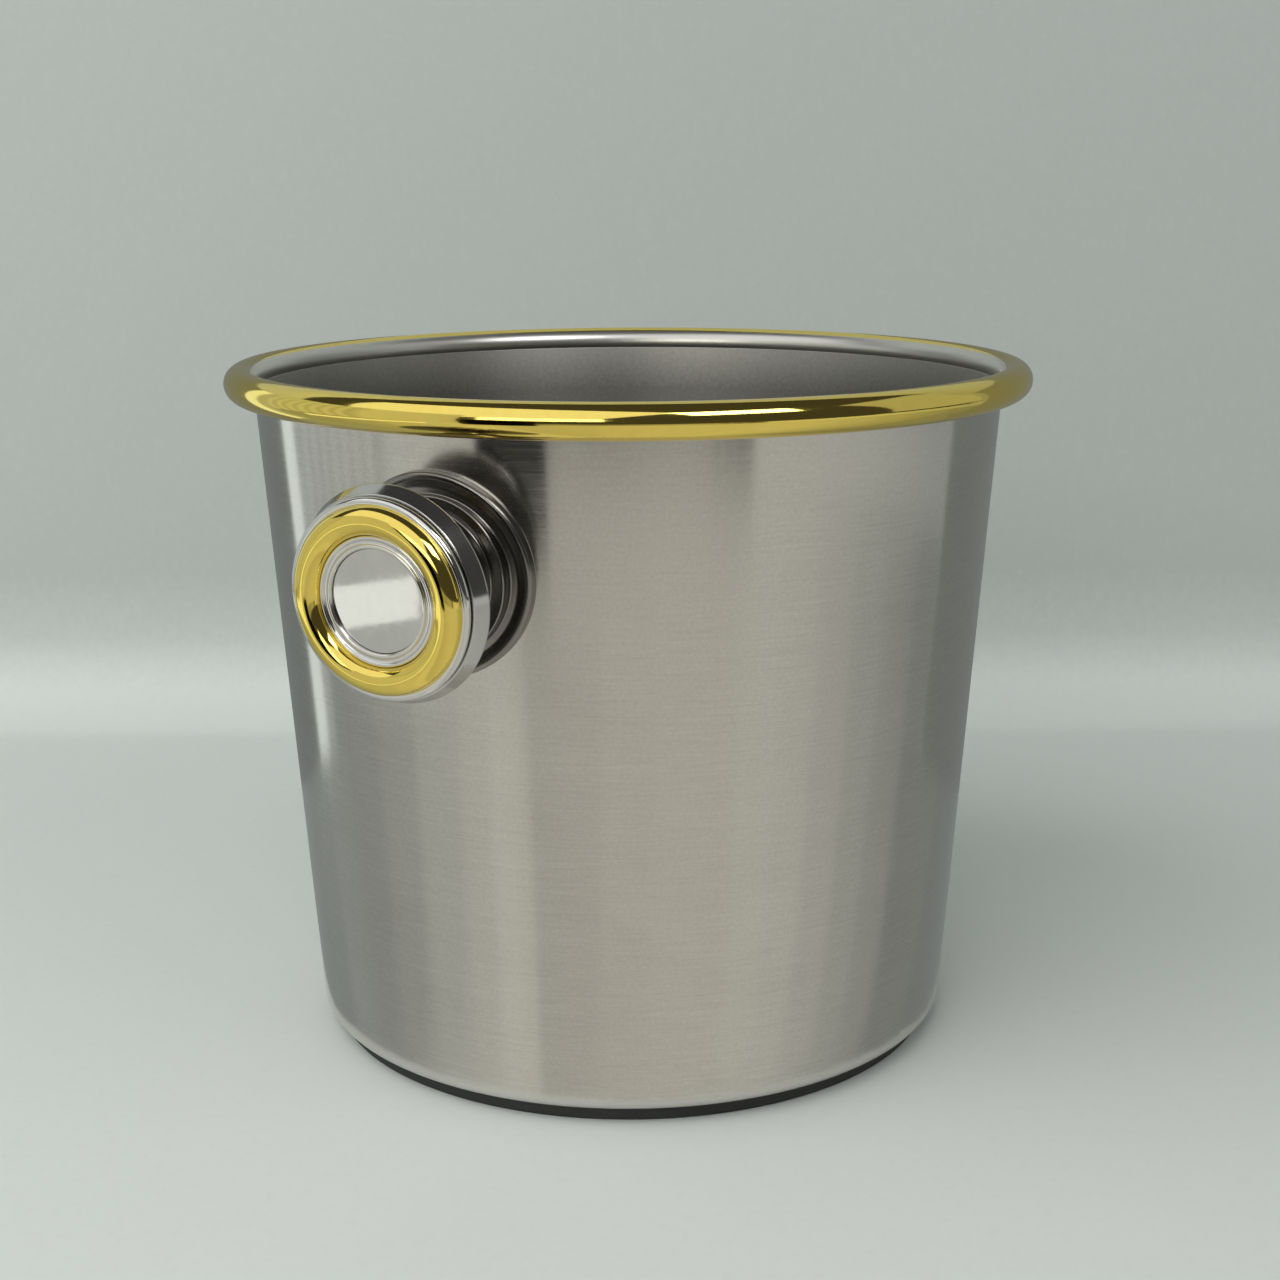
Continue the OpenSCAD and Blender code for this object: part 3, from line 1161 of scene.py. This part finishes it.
@dataclass(frozen=True)
class GlowBand:
    """A glowing strip of card round the bucket that only polished metal sees: a painted
    reflection.

    Each knot is an azimuth on the bucket's wall, in degrees to the camera's right, and how
    bright the strip is where that line of the wall mirrors it. The strip runs from a near low
    edge to a far high edge, in metres along the mirrored rays.
    """

    name: str
    knots: tuple[Pair, ...]
    near: float
    far: float
    low: float
    high: float
    wall_r: float = 0.103
    warm: Colour = (1.0, 0.98, 0.87)
    cool: Colour = (0.92, 1.0, 0.96)
    cooling: float = 1.5

    def seen_from(self, distance: float, azimuth: float, reach: float, height: float) -> Vector:
        """A point that the camera sees mirrored in one upright line of the wall.

        Args:
            distance: The camera's distance from the bucket's axis.
            azimuth: The line's azimuth on the wall, in radians.
            reach: Distance from the wall along the mirrored ray.
            height: The point's height.

        Returns:
            The point in the studio's axes.
        """
        start = self.wall_r * Vector((math.sin(azimuth), -math.cos(azimuth)))
        to_camera = math.atan2(-start.x, distance + start.y)
        away = 2 * azimuth - to_camera
        end = start + reach * Vector((math.sin(away), -math.cos(away)))
        return Vector((end.x, end.y, height))

    def build(self, viewpoint: Viewpoint) -> None:
        """Makes the strip.

        Args:
            viewpoint: The camera that the strip is laid out for.
        """
        points, lights = [], []
        for degrees, glow in self.knots:
            azimuth = math.radians(degrees)
            for reach, height in ((self.near, self.low), (self.far, self.high)):
                points.append(self.seen_from(viewpoint.distance, azimuth, reach, height))
            front = max(0.0, math.cos(azimuth * self.cooling))
            tint = Vector(self.cool).lerp(Vector(self.warm), front) * glow
            lights += [*tint, 1.0] * 2
        band = add_strip(self.name, points, viewpoint.turn)
        shine = band.data.attributes.new("shine", "FLOAT_COLOR", "POINT")
        shine.data.foreach_set("color", lights)
        sheet = NodeSheet(self.name)
        band.data.materials.append(sheet.finish({
            "Base Color": (0.0, 0.0, 0.0),
            "Specular IOR Level": 0.0,
            "Emission Strength": 1.0,
            "Emission Color": sheet.trait("shine", "Color"),
        }))
        band.visible_camera = False
        band.visible_diffuse = False
        band.visible_shadow = False


# Knots of the glowing bands: painted reflections of the room, light and dark streaks, a window,
# the floor dimmer to the sides, and a bright patch.
STREAKS = tuple((-55.0 + 1.2 * step, 0.42 if step % 2 else 0.64) for step in range(16))
LEFT_ROOM_KNOTS = (
    (-56, 0.46), *STREAKS,
    (-34, 0.60), (-28, 0.58), (-20.8, 0.54),
)
FRONT_ROOM_KNOTS = (
    (-20.8, 0.54), (-11, 0.22), (-8.5, 0.34), (-4, 0.28), (2, 0.36), (8, 0.40), (11, 0.34),
    (11.5, 0.20), (12.4, 0.34), (13.2, 0.16), (14, 0.28), (14.6, 0.16), (16.5, 0.24),
    (17, 0.60), (28, 0.62), (40, 0.50), (52, 0.38),
)
LEFT_EDGE_KNOTS = (
    (-86, 0.20), (-59.8, 0.22), (-59.4, 1.0), (-55.8, 0.95), (-55.4, 0.48), (-53, 0.48),
)
RIGHT_EDGE_KNOTS = ((52.0, 0.38), (52.5, 0.22), (86, 0.20))
SIDE_KNOTS = ((34, 0.42), (58, 0.42))
# A black card seen only in polished metal: painted shade, the dark reflection beside the handle.
DARK_REFLECTION_KNOTS = ((-20.8, 0.0), (-11.0, 0.0))
POOL_KNOTS = (
    (-80, 0.28), (-64, 0.30), (-58, 0.35), (-50, 0.33), (-42, 0.38), (-34, 0.48), (-26, 0.55),
    (-21, 0.62), (-17, 0.60), (-15, 0.49), (-10, 0.50), (-4, 0.54), (4, 0.56),
    (12, 0.55), (16, 0.57), (22, 0.55), (28, 0.49), (34, 0.42), (40, 0.36), (47, 0.27),
    (60, 0.24), (80, 0.24),
)
PATCH_KNOTS = ((-47, 1.05), (-26, 1.05))
WINDOW_KNOTS = ((-18.5, 2.6), (-3.0, 2.6))


class Unlit(Enum):
    """The kind of surface that a softbox leaves alone, as the switch that is turned off."""

    SHINY = "visible_glossy"
    MATT = "visible_diffuse"


@dataclass(frozen=True)
class Softbox:
    """A rectangular lamp in the studio's axes, with its width, its height and its watts."""

    name: str
    place: Triple
    size: Pair
    watts: float
    unlit: Unlit
    aim: Triple = (0.0, 0.0, 0.1)

    def build(self, turn: Matrix) -> None:
        """Hangs the lamp, facing the bucket.

        Args:
            turn: Carries the studio's axes to the bucket's.
        """
        data = bpy.data.lights.new(self.name, "AREA")
        data.shape, data.size, data.size_y = "RECTANGLE", *self.size
        data.energy = self.watts
        box = add_object(self.name, data)
        away = (Vector(self.place) - Vector(self.aim)).normalized()
        facing = away.to_track_quat("Z", "Y").to_matrix().to_4x4()
        box.matrix_world = turn @ Matrix.Translation(self.place) @ facing
        box.visible_camera = False
        setattr(box, self.unlit.value, False)


@dataclass(frozen=True)
class Studio:
    """Seamless sheet, softboxes, bands and the room's light, laid out in the camera's axes."""

    viewpoint: Viewpoint
    sheet_front: float = -0.50
    sheet_back: float = 0.285
    bend_r: float = 0.04
    bend_steps: int = 24
    sheet_top: float = 0.8
    half_width: float = 1.3
    room_colour: Colour = (0.52, 0.54, 0.53)
    room_light: float = 0.52
    wall_colour: Colour = (0.52, 0.51, 0.48)
    wall_light: float = 0.10
    # Each band is a painted reflection: a glowing card seen only in polished metal.
    bands: tuple[GlowBand, ...] = (
        GlowBand("left_room", LEFT_ROOM_KNOTS, 0.64, 0.64, 0.0, 0.50),
        GlowBand("front_room", FRONT_ROOM_KNOTS, 0.64, 0.64, 0.0, 0.08),
        GlowBand("left_edge", LEFT_EDGE_KNOTS, 0.26, 0.26, 0.0, 0.30),
        GlowBand("right_edge", RIGHT_EDGE_KNOTS, 0.26, 0.26, 0.0, 0.30),
        GlowBand("side_card", SIDE_KNOTS, 1.15, 1.15, 0.10, 1.40),
        GlowBand("window", WINDOW_KNOTS, 1.10, 1.10, 0.30, 0.58),
        GlowBand("painted_dark_reflection", DARK_REFLECTION_KNOTS, 0.49, 0.49, 0.0, 0.23),
        GlowBand("floor_pool", POOL_KNOTS, 0.005, 0.64, 0.001, 0.001),
        GlowBand("cream_light_patch", PATCH_KNOTS, 0.43, 0.53, 0.003, 0.003),
    )
    softboxes: tuple[Softbox, ...] = (
        Softbox("key", (-0.70, -0.72, 1.10), (1.9, 1.3), 16.5, Unlit.SHINY),
        Softbox("key_shine", (-0.68, -0.70, 1.06), (1.9, 1.3), 6.8, Unlit.MATT),
        Softbox("fill", (0.9, -0.6, 0.9), (1.0, 0.7), 2.2, Unlit.SHINY),
        Softbox("sheen", (0.77, -1.10, 1.5), (0.9, 0.6), 9.0, Unlit.MATT),
    )

    def build(self) -> None:
        """Makes the sheet, the bands, the softboxes and the room."""
        self.sweep()
        for band in self.bands:
            band.build(self.viewpoint)
        for softbox in self.softboxes:
            softbox.build(self.viewpoint.turn)
        self.room()

    def sweep(self) -> None:
        """The pale sheet that runs from floor to wall in one curve."""
        back, bend = self.sheet_back, self.bend_r
        profile = [(self.sheet_front, 0.0), (back, 0.0)]
        for step in range(1, self.bend_steps + 1):
            angle = math.pi / 2 * step / self.bend_steps
            profile.append((back + bend * math.sin(angle), bend * (1 - math.cos(angle))))
        profile.append((back + bend, self.sheet_top))
        half = self.half_width
        points = [(side, *place) for place in profile for side in (-half, half)]
        sheet = add_strip("backdrop", points, self.viewpoint.turn)
        for polygon in sheet.data.polygons:
            polygon.use_smooth = True
        sheet.data.materials.append(BackdropPaint().build())

    def room(self) -> None:
        """Even grey light from all round, on walls that look darker in polished metal."""
        world = bpy.data.worlds.new("studio_room")
        world.use_nodes = True
        tree = world.node_tree
        even = tree.nodes["Background"]
        feed(even.inputs["Color"], self.room_colour)
        feed(even.inputs["Strength"], self.room_light)
        walls = add_node(
            tree, "ShaderNodeBackground", {"Color": self.wall_colour, "Strength": self.wall_light}
        )
        ray = add_node(tree, "ShaderNodeLightPath").outputs["Is Glossy Ray"]
        both = {0: ray, 1: even.outputs[0], 2: walls.outputs[0]}
        mix = add_node(tree, "ShaderNodeMixShader", both)
        feed(tree.nodes["World Output"].inputs["Surface"], mix.outputs[0])
        bpy.context.scene.world = world
        bpy.context.scene.view_settings.view_transform = "Standard"


def main() -> None:
    """Builds the bucket, its handles and the studio."""
    logging.basicConfig(level=logging.INFO, format="%(name)s %(message)s")
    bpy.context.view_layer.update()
    book = FinishBook()
    lathe = TurningLathe()
    vessel = Vessel(lathe, book)
    vessel.build()
    for side in Side:
        KnobHandle(lathe, book, vessel, side).build()
    viewpoint = Viewpoint()
    viewpoint.build()
    Studio(viewpoint).build()


if __name__ == "__main__":
    main()
